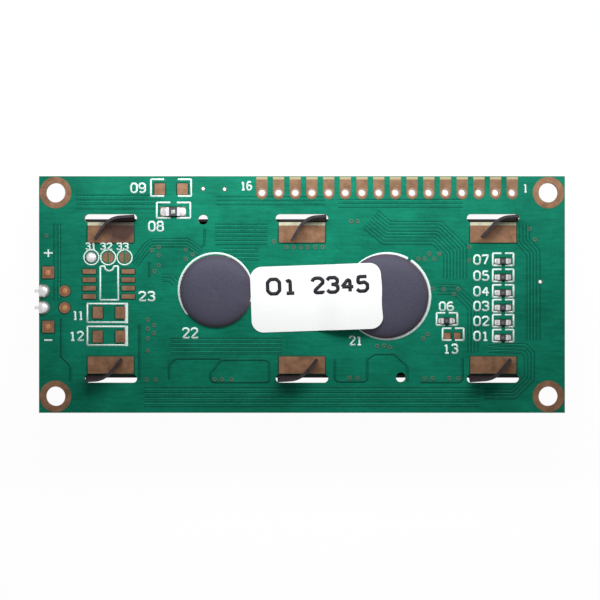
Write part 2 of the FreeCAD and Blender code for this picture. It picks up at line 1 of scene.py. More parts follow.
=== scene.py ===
"""Looks of a character display module that lies on its display, with the back of its board up.

Sizes are in millimetres, in the frame of the CAD model: +X to the right and +Y to the connector holes
when the back is seen, +Z out of the back. They are turned to metres when a mesh is made.
"""
import bpy
import math
import random
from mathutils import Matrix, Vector


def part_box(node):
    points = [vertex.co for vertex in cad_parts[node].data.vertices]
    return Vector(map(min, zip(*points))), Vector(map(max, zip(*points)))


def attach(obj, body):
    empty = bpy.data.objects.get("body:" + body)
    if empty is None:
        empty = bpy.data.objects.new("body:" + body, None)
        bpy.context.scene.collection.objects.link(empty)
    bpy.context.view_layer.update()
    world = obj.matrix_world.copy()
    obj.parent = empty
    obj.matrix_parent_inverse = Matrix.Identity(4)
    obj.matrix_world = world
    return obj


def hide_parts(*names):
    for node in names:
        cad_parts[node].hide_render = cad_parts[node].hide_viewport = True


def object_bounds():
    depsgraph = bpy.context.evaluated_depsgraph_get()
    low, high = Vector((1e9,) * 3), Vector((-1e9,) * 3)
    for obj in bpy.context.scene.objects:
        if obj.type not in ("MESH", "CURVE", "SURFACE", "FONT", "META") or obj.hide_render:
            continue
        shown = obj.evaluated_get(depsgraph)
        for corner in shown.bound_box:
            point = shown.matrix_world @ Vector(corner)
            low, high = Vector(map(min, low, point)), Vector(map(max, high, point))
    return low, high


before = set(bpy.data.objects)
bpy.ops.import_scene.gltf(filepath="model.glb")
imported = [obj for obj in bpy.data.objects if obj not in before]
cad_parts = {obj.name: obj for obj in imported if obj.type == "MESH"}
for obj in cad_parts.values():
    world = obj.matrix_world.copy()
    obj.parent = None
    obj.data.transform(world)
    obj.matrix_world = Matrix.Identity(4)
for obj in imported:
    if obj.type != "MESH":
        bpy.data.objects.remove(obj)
cad_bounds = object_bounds()

MM = 0.001

# Thicknesses, and levels over the board's front.
PRINT = 0.02
COPPER = 0.05
BACK = 1.6
PAD_TOP = BACK + COPPER

# Half the board's length and width, and the places and sizes of what it carries.
BOARD_X = 40.0
BOARD_Y = 18.0
BEZEL_Y = -0.6
MOUNTS = [(x, y) for x in (-37.5, 37.5) for y in (-15.5, 15.5)]
MOUNT_HOLE = 1.5
MOUNT_RING = 2.4
CONNECTOR_PITCH = 2.54
CONNECTOR_X = [32.0 - CONNECTOR_PITCH * number for number in range(16)]
CONNECTOR_Y = 15.5
CONNECTOR_HOLE = 0.5
HOOKS_X = (-29.1, 0.0, 29.1)
HOOK_PAD = (7.0, 2.6)
CAPACITORS_Y = (-2.82, -6.29)
JUMPERS_X = (-32.05, -29.5, -27.0)
JUMPER_Y = 5.65
LEADS_Y = (0.54, -2.0)
SMALL_RESISTORS = [f"chip_resistor_{number}" for number in range(1, 8)]
LARGE_RESISTOR = "chip_resistor_large"


# Shader nodes


def operator(operation, turned=False):
    """A method that adds a Math node. Where it is turned, the other value comes first."""

    def method(self, other=0.0):
        first, second = (other, self) if turned else (self, other)
        return self.tree.node("ShaderNodeMath", {"operation": operation}, {0: first, 1: second})

    return method


class Socket:
    """An output of a shader node. Each of Python's operators on it adds a Math node."""

    def __init__(self, tree, output):
        self.tree = tree
        self.output = output

    def out(self, name):
        return Socket(self.tree, self.output.node.outputs[name])

    __add__ = __radd__ = operator("ADD")
    __mul__ = __rmul__ = operator("MULTIPLY")
    __sub__ = operator("SUBTRACT")
    __rsub__ = operator("SUBTRACT", turned=True)
    __truediv__ = operator("DIVIDE")
    __mod__ = operator("FLOORED_MODULO")
    __pow__ = operator("POWER")
    __gt__ = operator("GREATER_THAN")
    __lt__ = operator("LESS_THAN")
    __abs__ = operator("ABSOLUTE")
    at_most = operator("MINIMUM")


class Tree:
    """A node tree with one way to add a node: its type, then its settings, then its sockets."""

    def __init__(self, group):
        self.nodes = group.nodes
        self.links = group.links

    def node(self, kind, settings=None, sockets=None):
        node = self.nodes.new(kind)
        for name, value in (settings or {}).items():
            setattr(node, name, value)
        for name, value in (sockets or {}).items():
            target = node.inputs[name]
            if isinstance(value, Socket):
                self.links.new(value.output, target)
            else:
                target.default_value = value
        outputs = [output for output in node.outputs if output.enabled]
        return Socket(self, outputs[0]) if outputs else node

    def place(self, shift=(0, 0, 0), stretch=(1, 1, 1)):
        """Object coordinates in millimetres, moved and stretched."""
        coordinates = self.node("ShaderNodeTexCoord").out("Object")
        return self.node(
            "ShaderNodeMapping",
            {"vector_type": "POINT"},
            {
                "Vector": coordinates,
                "Location": [move * size for move, size in zip(shift, stretch)],
                "Scale": [size / MM for size in stretch],
            },
        )

    def axes(self, shift=(0, 0, 0)):
        """The three coordinates in millimetres, moved."""
        split = self.node("ShaderNodeSeparateXYZ", None, {"Vector": self.place(shift)})
        return split.out("X"), split.out("Y"), split.out("Z")

    def noise(self, scale, detail=2.0, roughness=0.5, stretch=(1, 1, 1)):
        """Noise from 0 to 1 that changes about so many times in a millimetre."""
        place = self.place(stretch=stretch)
        sockets = {"Vector": place, "Scale": scale, "Detail": detail, "Roughness": roughness}
        return self.node("ShaderNodeTexNoise", None, sockets)

    def ramp(self, value, low, high):
        """The value stretched so that it is 0 at low and 1 at high, and held there beyond them."""
        return self.node(
            "ShaderNodeMapRange", {"clamp": True}, {"Value": value, "From Min": low, "From Max": high}
        )

    def mix(self, share, *colours):
        """From one colour to another. Each is a socket, or three numbers for tint()."""
        first, second = (part if isinstance(part, Socket) else tint(*part) for part in colours)
        sockets = {0: share, 6: first, 7: second}
        return self.node("ShaderNodeMix", {"data_type": "RGBA"}, sockets).out(2)

    def bump(self, height, depth):
        """A normal for a relief whose height runs from 0 to 1 and is so many millimetres deep."""
        return self.node("ShaderNodeBump", None, {"Height": height, "Distance": depth * MM})


def tint(red, green, blue):
    """A colour as seen on a screen, from 0 to 255, as linear light with full cover."""

    def linear(value):
        value /= 255
        return value / 12.92 if value <= 0.04045 else ((value + 0.055) / 1.055) ** 2.4

    return (linear(red), linear(green), linear(blue), 1.0)


def finish(name, build, **constants):
    """A material. What varies comes from build(tree), and the constants are set on the shader itself."""
    material = bpy.data.materials.new(name)
    material.use_nodes = True
    shader = material.node_tree.nodes["Principled BSDF"]
    tree = Tree(material.node_tree)
    for socket, value in constants.items():
        shader.inputs[socket.replace("_", " ")].default_value = value
    for socket, value in build(tree).items():
        if isinstance(value, Socket):
            tree.links.new(value.output, shader.inputs[socket])
        else:
            shader.inputs[socket].default_value = value
    return material


def speckled(name, dark, light, scale, rough, bump_scale=0.0, bump_depth=0.0, **constants):
    """A finish that wanders between two colours and two roughnesses, over a fine grain."""

    def build(tree):
        noise = tree.ramp(tree.noise(scale, 3.0), 0.3, 0.7)
        sockets = {
            "Base Color": tree.mix(noise, dark, light),
            "Roughness": noise * (rough[1] - rough[0]) + rough[0],
        }
        if bump_depth:
            sockets["Normal"] = tree.bump(tree.noise(bump_scale, 3.0), bump_depth)
        return sockets

    return finish(name, build, **constants)


# Finishes


def mask_sockets(tree, dark, light):
    """Solder mask: thin lacquer with slow changes of shade, fine streaks and a faint weave below."""
    slow = tree.ramp(tree.noise(0.14, 3.0, 0.6), 0.35, 0.65)
    fine = tree.ramp(tree.noise(1.7, 4.0, 0.6), 0.3, 0.7)
    streaks = tree.ramp(tree.noise(1.5, 3.0, 0.65, stretch=(0.22, 1.6, 1)), 0.35, 0.65)
    weave = tree.noise(2.2, 1.0, stretch=(1, 3, 1)) + tree.noise(2.2, 1.0, stretch=(3, 1, 1))
    return {
        "Base Color": tree.mix(slow * 0.45 + fine * 0.2 + streaks * 0.35, dark, light),
        "Roughness": fine * 0.08 + 0.36,
        "Normal": tree.bump(weave, 0.012),
    }


def mask_look(name, dark, light):
    """Green mask on copper or over a gap."""
    return finish(name, lambda tree: mask_sockets(tree, dark, light), Specular_IOR_Level=0.04)


def board_look(tree):
    """Mask on both faces of the board and pale glass laminate where it is cut."""
    x, y, z = tree.axes()
    skin = 0.03
    cut = (z > skin) * (z < BACK - skin)
    layers = tree.noise(9.0, 2.0, stretch=(0.15, 0.15, 1))
    laminate = tree.mix(layers, (150, 165, 128), (188, 194, 156))
    sockets = mask_sockets(tree, (9, 89, 69), (17, 122, 96))
    sockets["Base Color"] = tree.mix(cut, sockets["Base Color"], laminate)
    sockets["Roughness"] = sockets["Roughness"] + cut * 0.35
    return sockets


def copper_look(name, dark, light, details=None):
    """Bare copper that has dulled to brown, with fine scratches and paler patches."""

    def build(tree):
        patches = tree.ramp(tree.noise(0.9, 4.0, 0.6), 0.32, 0.68)
        scratches = tree.noise(3.0, 3.0, stretch=(1, 9, 1))
        colour = tree.mix(patches, dark, light)
        # Details add colour on top: paler tin on the connector pads, and the painted hook shadow on the
        # dull copper.
        if details:
            colour = details(tree, colour)
        return {
            "Base Color": colour,
            "Roughness": patches * 0.12 + 0.42,
            "Normal": tree.bump(scratches, 0.006),
        }

    return finish(name, build, Metallic=0.12, Specular_IOR_Level=0.1)


def painted_hook_shadow(tree, colour):
    """A painted shadow of the upper left hook: a dark red bloom on the pad and the bare strip under the
    hook, where its shade falls.
    """
    x, y, z = tree.axes((27.4, -10.6, 0))
    far = ((x / 3.3) ** 2 + (y / 3.1) ** 2) ** 0.5 + tree.noise(0.8, 3.0) * 0.5
    # Painted shadow: dark red is mixed in round the upper left hook and fades with distance from it.
    return tree.mix(tree.ramp(far, 1.4, 0.9) * 0.9, colour, (60, 42, 40))


def laminate_look(tree):
    """Bare glass laminate beside the upper hook pads, with the painted shadow of the upper left hook on
    it.
    """
    patches = tree.ramp(tree.noise(1.6, 3.0), 0.3, 0.7)
    laminate = tree.mix(patches, (150, 150, 126), (186, 184, 158))
    return {
        # The upper left hook's painted shadow falls on the strip beside its pad.
        "Base Color": painted_hook_shadow(tree, laminate),
        "Roughness": patches * 0.15 + 0.55,
        "Normal": tree.bump(tree.noise(3.0, 3.0), 0.02),
    }


def connector_details(tree, colour):
    """Paler tin at the board's edge and round each hole of the connector."""
    x, y, z = tree.axes()
    half = CONNECTOR_PITCH / 2
    across = (x - CONNECTOR_X[0] + half) % CONNECTOR_PITCH - half
    along = y - CONNECTOR_Y
    far = (across * across + along * along) ** 0.5 + tree.noise(3.0) * 0.08
    colour = tree.mix(tree.ramp(far, 0.74, 0.58) * 0.6, colour, (184, 150, 132))
    return tree.mix(tree.ramp(y, BOARD_Y - 0.56, BOARD_Y - 0.42), colour, (152, 138, 108))


def solder_look(tree):
    """Bright solder with a slight grain and duller patches."""
    grain = tree.ramp(tree.noise(3.0, 4.0, 0.6), 0.3, 0.7)
    return {
        "Base Color": tree.mix(grain, (198, 194, 196), (226, 223, 225)),
        "Roughness": grain * 0.08 + 0.3,
        "Normal": tree.bump(tree.noise(2.0, 2.0), 0.006),
    }


def steel_look(tree):
    """Black painted steel with a fine grain, lighter grey towards the top of the bent hooks."""
    x, y, z = tree.axes()
    grain = tree.noise(7.0, 3.0, 0.6)
    # Lighter grey mixed in by height, towards the tops of the hooks.
    lighter_tops = tree.ramp(z + tree.noise(1.3, 3.0) * 0.9, 3.85, 4.2)
    paint = tree.mix(tree.ramp(grain, 0.3, 0.7), (21, 18, 22), (33, 29, 34))
    return {
        "Base Color": tree.mix(lighter_tops * 0.35, paint, (74, 66, 74)),
        "Roughness": tree.ramp(grain, 0.3, 0.7) * 0.14 + 0.36,
        "Normal": tree.bump(grain, 0.01),
    }


def epoxy_look(tree):
    """Matt black epoxy with a fine grain, pale specks and a thin reddish foot where it runs out."""
    x, y, z = tree.axes()
    grain = tree.ramp(tree.noise(3.6, 4.0, 0.65), 0.25, 0.75)
    specks = tree.ramp(tree.noise(2.3, 2.0, 0.8), 0.74, 0.8)
    body = tree.mix(grain, (59, 58, 72), (73, 72, 88))
    body = tree.mix(specks * 0.5, body, (116, 112, 124))
    foot = tree.ramp(z + tree.noise(0.5, 2.0) * 0.5, BACK + 0.95, BACK + 0.4)
    return {
        "Base Color": tree.mix(foot * 0.7, body, (96, 60, 74)),
        "Roughness": grain * 0.1 + 0.5,
        "Normal": tree.bump(grain, 0.012),
    }


def paper_look(tree):
    """White coated paper with faint fibres."""
    fibres = tree.noise(2.5, 4.0, 0.7, stretch=(1, 2.5, 1))
    return {
        "Base Color": tree.mix(fibres, (224, 225, 225), (233, 234, 234)),
        "Roughness": fibres * 0.1 + 0.45,
        "Normal": tree.bump(fibres, 0.006),
    }


def resistor_look(name, node, cap):
    """Black glaze with a painted glint in its middle, between two tinned caps, set out from the resistor's
    own middle.
    """
    low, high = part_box(node)
    middle = (low + high) / 2 / MM
    half = (high.x - low.x) / 2 / MM

    def build(tree):
        x, y, z = tree.axes((-middle.x, -middle.y, 0))
        edge = abs(x) + tree.noise(4.0, 1.0) * 0.08
        tin = edge > half - cap
        grain = tree.noise(6.0, 3.0)
        # Painted highlight: a paler spot in the middle of the glaze.
        painted_glint = tree.ramp((x * x + y * y) ** 0.5 + grain * 0.1, 0.3, 0.12) * 0.6
        glaze = tree.mix(grain, (30, 28, 32), (58, 54, 58))
        glaze = tree.mix(painted_glint, glaze, (122, 112, 112))
        metal = tree.mix(grain, (168, 166, 168), (222, 221, 224))
        return {
            "Base Color": tree.mix(tin, glaze, metal),
            "Metallic": tin * 0.7,
            "Roughness": 0.36 - tin * 0.06,
            "Normal": tree.bump(grain, 0.008),
        }

    return finish(name, build)


def display_look(tree):
    """Dark blue film over the cell, with sixteen by two fields of faint dots."""
    field_length, field_width = 3.55, 5.94
    reach_x, reach_y = 8 * field_length, field_width
    left, right, low, high = 0.3, 3.25, 0.35, 5.6
    dot_length, dot_width, dot_gap_x, dot_gap_y = 0.54, 0.6, 0.05, 0.06
    x, y, z = tree.axes((0, -BEZEL_Y, 0))
    column = (x + reach_x) % field_length
    row = (y + reach_y) % field_width
    dot_x = (column - left) % (dot_length + dot_gap_x)
    dot_y = (row - low) % (dot_width + dot_gap_y)
    inside = (abs(x) < reach_x) * (abs(y) < reach_y)
    field = inside * (column > left) * (column < right) * (row > low) * (row < high)
    dots = field * (dot_x < dot_length) * (dot_y < dot_width)
    cloud = tree.noise(0.15, 3.0)
    film = tree.mix(cloud, (26, 46, 146), (32, 56, 164))
    return {
        "Base Color": tree.mix(dots, film, (42, 70, 180)),
        "Roughness": cloud * 0.08 + 0.12,
        "Normal": tree.bump(tree.noise(0.4, 2.0), 0.004),
    }


# Making pieces


def new_object(name, data):
    """An object in the scene."""
    piece = bpy.data.objects.new(name, data)
    bpy.context.scene.collection.objects.link(piece)
    return piece


class Shape:
    """Corners and faces of one piece, in millimetres, until it is made an object."""

    def __init__(self):
        self.corners = []
        self.faces = []

    def add(self, corners, faces):
        start = len(self.corners)
        self.corners += corners
        self.faces += [[start + index for index in face] for face in faces]

    def prism(self, outline, low, high):
        """A flat plate with the outline, counted against the clock from above."""
        count = len(outline)
        corners = [(x, y, low) for x, y in outline] + [(x, y, high) for x, y in outline]
        sides = [(n, (n + 1) % count, count + (n + 1) % count, count + n) for n in range(count)]
        self.add(corners, [tuple(range(count - 1, -1, -1)), tuple(range(count, 2 * count)), *sides])

    def loops(self, loops, closed=False):
        """Skin between loops of as many corners each. A loop of one corner closes the shape there.

        The skin faces outwards where the loops run against the clock and come in order from the top.
        The first corner's number comes back.
        """
        firsts = []
        for loop in loops:
            firsts.append(len(self.corners))
            self.corners += loop
        for one in range(len(loops) if closed else len(loops) - 1):
            two = (one + 1) % len(loops)
            a, b = firsts[one], firsts[two]
            count = max(len(loops[one]), len(loops[two]))
            for n in range(count):
                m = (n + 1) % count
                if len(loops[one]) == 1:
                    self.faces.append([a, b + n, b + m])
                elif len(loops[two]) == 1:
                    self.faces.append([a + n, b, a + m])
                else:
                    self.faces.append([a + n, b + n, b + m, a + m])
        return firsts[0]

    def piece(self, name, look, slot, replaced=(), smooth=False):
        mesh = bpy.data.meshes.new(name)
        mesh.from_pydata([Vector(corner) * MM for corner in self.corners], [], self.faces)
        mesh.validate()
        mesh.materials.append(materials[look])
        return settle(name, mesh, replaced, smooth)


def settle(name, mesh, replaced=(), smooth=False):
    """Makes a finished mesh a piece and says what it rides on and stands for."""
    if smooth:
        mesh.shade_smooth()
    piece = new_object(name, mesh)
    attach(piece, "root")
    if replaced:
        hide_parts(*replaced)
    return piece


def circle(x, y, radius, z, sides=48):
    """A loop of corners round a middle, against the clock."""
    turns = [2 * math.pi * n / sides for n in range(sides)]
    return [(x + radius * math.cos(turn), y + radius * math.sin(turn), z) for turn in turns]


def middle_of(node):
    low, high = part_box(node)
    return (low + high) / 2 / MM


# Shapes grown by Geometry Nodes


def geometry_tree(name, sizes, grow):
    """A tree with a named input for each size. Its shape is made real and takes one finish at the end."""
    group = bpy.data.node_groups.new(name, "GeometryNodeTree")
    group.interface.new_socket("Lines", in_out="INPUT", socket_type="NodeSocketGeometry")
    for size in sizes:
        kind = "NodeSocketInt" if size == "Cuts" else "NodeSocketFloat"
        group.interface.new_socket(size, in_out="INPUT", socket_type=kind)
    group.interface.new_socket("Finish", in_out="INPUT", socket_type="NodeSocketMaterial")
    group.interface.new_socket("Piece", in_out="OUTPUT", socket_type="NodeSocketGeometry")
    tree = Tree(group)
    inputs = tree.node("NodeGroupInput")
    real = tree.node("GeometryNodeRealizeInstances", None, {"Geometry": grow(tree, inputs)})
    done = tree.node("GeometryNodeSetMaterial", None, {"Geometry": real, "Material": inputs.out("Finish")})
    tree.node("NodeGroupOutput", None, {"Piece": done})
    return group


def section(tree, inputs):
    """A flat rectangle, as wide and as high as the inputs say."""
    sizes = {"Width": inputs.out("Width"), "Height": inputs.out("Height")}
    return tree.node("GeometryNodeCurvePrimitiveQuadrilateral", {"mode": "RECTANGLE"}, sizes)


def grow_strokes(tree, inputs):
    """Each line of the mesh is swept with the section, with its corners rounded."""
    lines = tree.node("GeometryNodeMeshToCurve", None, {"Mesh": inputs.out("Lines")})
    smooth = tree.node(
        "GeometryNodeFilletCurve",
        {"mode": "POLY"},
        {"Curve": lines, "Count": 3, "Radius": inputs.out("Corner"), "Limit Radius": True},
    )
    fine = tree.node("GeometryNodeSubdivideCurve", None, {"Curve": smooth, "Cuts": inputs.out("Cuts")})
    level = tree.node("GeometryNodeSetCurveNormal", {"mode": "Z_UP"}, {"Curve": fine})
    return tree.node(
        "GeometryNodeCurveToMesh",
        None,
        {"Curve": level, "Profile Curve": section(tree, inputs), "Fill Caps": True},
    )


def grow_rings(tree, inputs):
    """A ring with the section stands on each point of the mesh."""
    line = tree.node(
        "GeometryNodeCurvePrimitiveCircle",
        {"mode": "RADIUS"},
        {"Resolution": 28, "Radius": inputs.out("Radius")},
    )
    level = tree.node("GeometryNodeSetCurveNormal", {"mode": "Z_UP"}, {"Curve": line})
    sweep = {"Curve": level, "Profile Curve": section(tree, inputs)}
    ring = tree.node("GeometryNodeCurveToMesh", None, sweep)
    stand = {"Points": inputs.out("Lines"), "Instance": ring}
    return tree.node("GeometryNodeInstanceOnPoints", None, stand)


stroke_tree = geometry_tree("strokes", ("Width", "Height", "Corner", "Cuts"), grow_strokes)
ring_tree = geometry_tree("rings", ("Width", "Height", "Radius"), grow_rings)


def grown(name, tree, corners, edges, sizes, look):
    """Runs a tree on points and lines, and keeps what comes out as a plain mesh."""
    start = bpy.data.meshes.new(name + "_start")
    start.from_pydata([Vector(corner) * MM for corner in corners], edges, [])
    source = new_object(name + "_start", start)
    modifier = source.modifiers.new("grow", "NODES")
    modifier.node_group = tree
    for item in tree.interface.items_tree:
        if item.name == "Cuts":
            modifier[item.identifier] = sizes["Cuts"]
        elif item.name in sizes:
            modifier[item.identifier] = sizes[item.name] * MM
        elif item.name == "Finish":
            modifier[item.identifier] = materials[look]
    graph = bpy.context.evaluated_depsgraph_get()
    mesh = bpy.data.meshes.new_from_object(source.evaluated_get(graph))
    mesh.name = name
    bpy.data.objects.remove(source)
    return settle(name, mesh)


def strokes(name, lines, level, width, height, corner, look, cuts=0):
    """Lines of points (x, y) drawn as strokes on a level. A line that ends where it starts is closed.

    Four lines in turn lie a hair above each other, so that no two tops meet in one plane where they cross.
    """
    hair = 0.0006
    corners, edges = [], []
    for number, line in enumerate(lines):
        first = len(corners)
        closed = line[0] == line[-1]
        points = line[:-1] if closed else line
        middle = level + height / 2 + number % 4 * hair
        corners += [(x, y, middle) for x, y in points]
        edges += [(first + n, first + n + 1) for n in range(len(points) - 1)]
        if closed:
            edges.append((first + len(points) - 1, first))
    sizes = {"Width": width, "Height": height, "Corner": corner, "Cuts": cuts}
    return grown(name, stroke_tree, corners, edges, sizes, look)


def rings(name, places, low, high, inner, outer, look):
    """Rings or short tubes round the places (x, y)."""
    sizes = {"Width": outer - inner, "Height": high - low, "Radius": (inner + outer) / 2}
    corners = [(x, y, (low + high) / 2) for x, y in places]
    return grown(name, ring_tree, corners, [], sizes, look)


# Finishes of this part

materials = {
    "mask_on_track": mask_look("mask_on_track", (14, 97, 76), (22, 129, 103)),
    "mask_in_gap": mask_look("mask_in_gap", (9, 76, 60), (15, 103, 82)),
    "mask_at_pads": mask_look("mask_at_pads", (12, 60, 47), (18, 80, 63)),
    "mask_on_via": mask_look("mask_on_via", (68, 96, 80), (92, 108, 92)),
    # The dull copper also carries the painted shadow of the upper left hook on that hook's pad.
    "copper": copper_look("dull_copper", (104, 77, 58), (139, 104, 79), painted_hook_shadow),
    "pad_copper": copper_look("pad_copper", (111, 82, 62), (143, 108, 84)),
    "red_copper": copper_look("red_copper_rims", (142, 84, 60), (164, 104, 76)),
    "tinned_copper": copper_look("tinned_copper", (158, 112, 76), (180, 134, 94)),
    "rim_copper": copper_look("connector_copper", (98, 74, 54), (126, 97, 75), connector_details),
    "solder": finish("solder", solder_look, Metallic=0.85),
    "steel": finish("black_steel", steel_look, Specular_IOR_Level=0.2),
    "epoxy": finish("matt_epoxy", epoxy_look, Specular_IOR_Level=0.15),
    "paper": finish("white_paper", paper_look),
    "board": finish("green_board", board_look, Specular_IOR_Level=0.04),
    "film": finish(
        "blue_film", display_look, Coat_Weight=0.15, Coat_Roughness=0.08, Specular_IOR_Level=0.25
    ),
    "print": speckled("white_print", (190, 212, 205), (218, 234, 229), 2.5, (0.5, 0.62), 5.0, 0.006),
    "ink": speckled(
        "black_ink", (20, 18, 24), (34, 30, 40), 2.5, (0.5, 0.6), 5.0, 0.004, Specular_IOR_Level=0.2
    ),
    "laminate": finish("bare_laminate", laminate_look),
    "tin": speckled(
        "tinned_lead", (220, 216, 216), (240, 237, 237), 3.0, (0.3, 0.4), 5.0, 0.006, Metallic=0.6
    ),
    "glass": speckled("display_glass", (150, 168, 164), (166, 182, 178), 0.4, (0.05, 0.1)),
    "glue": speckled("clear_glue", (206, 200, 170), (222, 218, 192), 1.2, (0.15, 0.25), 2.0, 0.02),
    "white_film": speckled("white_film", (232, 234, 234), (244, 245, 245), 0.8, (0.35, 0.45), 4.0, 0.004),
    "guide": speckled("light_guide", (214, 224, 224), (230, 238, 238), 0.5, (0.08, 0.14)),
    "frame": speckled("white_plastic", (228, 228, 224), (240, 240, 237), 0.9, (0.42, 0.55), 5.0, 0.01),
    "lamp": speckled("lamp_body", (232, 230, 214), (244, 243, 232), 1.5, (0.25, 0.35), 4.0, 0.006),
    "rubber": speckled("contact_rubber", (196, 120, 112), (214, 140, 130), 1.4, (0.6, 0.75), 5.0, 0.012),
}


# Camera, floor and lights


def camera():
    """Straight above the back, framed as in the photograph."""
    picture_width = 600
    pixels_per_mm = 6.573
    pixels_left, pixels_down = 1.95, 5.5
    distance = 0.45
    data = bpy.data.cameras.new("camera")
    data.sensor_width = 36.0
    data.lens = pixels_per_mm / MM * distance * data.sensor_width / picture_width
    data.clip_start = 0.01
    data.clip_end = 10.0
    piece = new_object("camera", data)
    middle = Vector((-pixels_left / pixels_per_mm, -pixels_down / pixels_per_mm, BACK))
    piece.location = middle * MM + Vector((0, 0, distance))
    bpy.context.scene.camera = piece


def seen(tree):
    """1 for rays that show the background: in the picture, in a gloss or through glass."""
    path = tree.node("ShaderNodeLightPath")
    shown = path.out("Is Camera Ray") + path.out("Is Glossy Ray") + path.out("Is Transmission Ray")
    return shown.at_most(1.0)


def floor():
    """A wide white floor under the display. It doesn't show from below."""
    material = bpy.data.materials.new("floor")
    material.use_nodes = True
    tree = Tree(material.node_tree)
    tree.nodes.clear()
    shade = tree.node("ShaderNodeBsdfDiffuse", None, {"Color": (0.8, 0.8, 0.8, 1)})
    faint = tree.node("ShaderNodeBsdfDiffuse", None, {"Color": (0.06, 0.06, 0.06, 1)})
    glow = tree.node("ShaderNodeEmission", None, {"Color": (1, 1, 1, 1), "Strength": 0.96})
    shown = tree.node("ShaderNodeAddShader", None, {0: faint, 1: glow})
    top = tree.node("ShaderNodeMixShader", None, {0: seen(tree), 1: shade, 2: shown})
    clear = tree.node("ShaderNodeBsdfTransparent")
    below = tree.node("ShaderNodeNewGeometry").out("Backfacing")
    both = tree.node("ShaderNodeMixShader", None, {0: below, 1: top, 2: clear})
    tree.node("ShaderNodeOutputMaterial", None, {"Surface": both})
    reach = 2.0
    level = cad_bounds[0].z - 0.02 * MM
    corners = [(sx * reach, sy * reach, level) for sx, sy in ((-1, -1), (1, -1), (1, 1), (-1, 1))]
    mesh = bpy.data.meshes.new("floor")
    mesh.from_pydata(corners, [], [(0, 1, 2, 3)])
    mesh.materials.append(material)
    piece = new_object("floor", mesh)


def sky():
    """White where it shows, and dimmer where it lights the part."""
    world = bpy.data.worlds.new("studio")
    bpy.context.scene.world = world
    world.use_nodes = True
    tree = Tree(world.node_tree)
    tree.nodes.clear()
    strength = seen(tree) * 0.7 + 0.3
    back = tree.node("ShaderNodeBackground", None, {"Color": (1, 1, 1, 1), "Strength": strength})
    tree.node("ShaderNodeOutputWorld", None, {"Surface": back})


def lamp(name, place, aim, length, width, energy):
    """A soft box that the camera doesn't see. It faces a place on the part."""
    data = bpy.data.lights.new(name, "AREA")
    data.shape = "RECTANGLE"
    data.size = length
    data.size_y = width
    data.energy = energy
    piece = new_object(name, data)
    piece.visible_camera = False
    piece.location = place
    piece.rotation_mode = "QUATERNION"
    piece.rotation_quaternion = (Vector(aim) - Vector(place)).to_track_quat("-Z", "Y")


# White print


def box_line(x_low, x_high, y_low, y_high):
    """A closed rectangle."""
    return [(x_low, y_low), (x_high, y_low), (x_high, y_high), (x_low, y_high), (x_low, y_low)]


def bracket_pair(x, y, length, width, gap):
    """Two brackets that face each other round a part."""
    for side in (-1, 1):
        near, far = x + side * gap / 2, x + side * length / 2
        yield [(near, y + width / 2), (far, y + width / 2), (far, y - width / 2), (near, y - width / 2)]


def arc_line(x, y, radius, start, end, count):
    """An arc from one angle to another, in degrees, in so many steps."""
    turns = [math.radians(start + (end - start) * n / count) for n in range(count + 1)]
    return [(x + radius * math.cos(turn), y + radius * math.sin(turn)) for turn in turns]


def printed_outlines():
    """Brackets round the resistors, boxes round what isn't fitted, and rings round covers and jumpers."""
    lines = list(bracket_pair(-19.92, 16.25, 6.12, 2.55, 2.1))
    lines += bracket_pair(-19.54, 12.82, 5.1, 2.35, 1.0)
    for node in SMALL_RESISTORS:
        place = middle_of(node)
        lines += bracket_pair(place.x + 0.07, place.y + 0.26, 3.16, 1.84, 0.55)
    lines += bracket_pair(23.01, -6.06, 3.22, 1.8, 0.55)
    for y in CAPACITORS_Y:
        lines.append(box_line(-32.65, -26.6, y - 1.42, y + 1.42))
    left, right, low, high = -30.69, -27.97, -0.83, 4.31
    notch = arc_line(-29.33, high, 0.72, 180, 360, 8)
    lines.append([(left, high), *notch, (right, high), (right, low), (left, low), (left, high)])
    strokes("printed_outlines", lines, BACK, 0.27, PRINT, 0.1, "print")
    bars = [[(-26.72, y - 1.55), (-26.72, y + 1.55)] for y in CAPACITORS_Y]
    strokes("printed_bars", bars, BACK, 0.5, PRINT + 0.002, 0.0, "print")
    circles = [arc_line(x, JUMPER_Y, 1.14, 0, 360, 40)[:-1] for x in JUMPERS_X]
    circles = [[*line, line[0]] for line in circles]
    strokes("printed_jumper_rings", circles, BACK, 0.2, PRINT, 0.0, "print")
    large = [arc_line(12.98, -0.26, 6.5, 61.5, 416.5, 120)]
    strokes("printed_ring_large", large, BACK, 0.42, PRINT, 0.0, "print")
    small = [arc_line(-13.14, 0.66, 5.6, -18, 221, 90)]
    strokes("printed_ring_small", small, BACK, 0.34, PRINT, 0.0, "print")


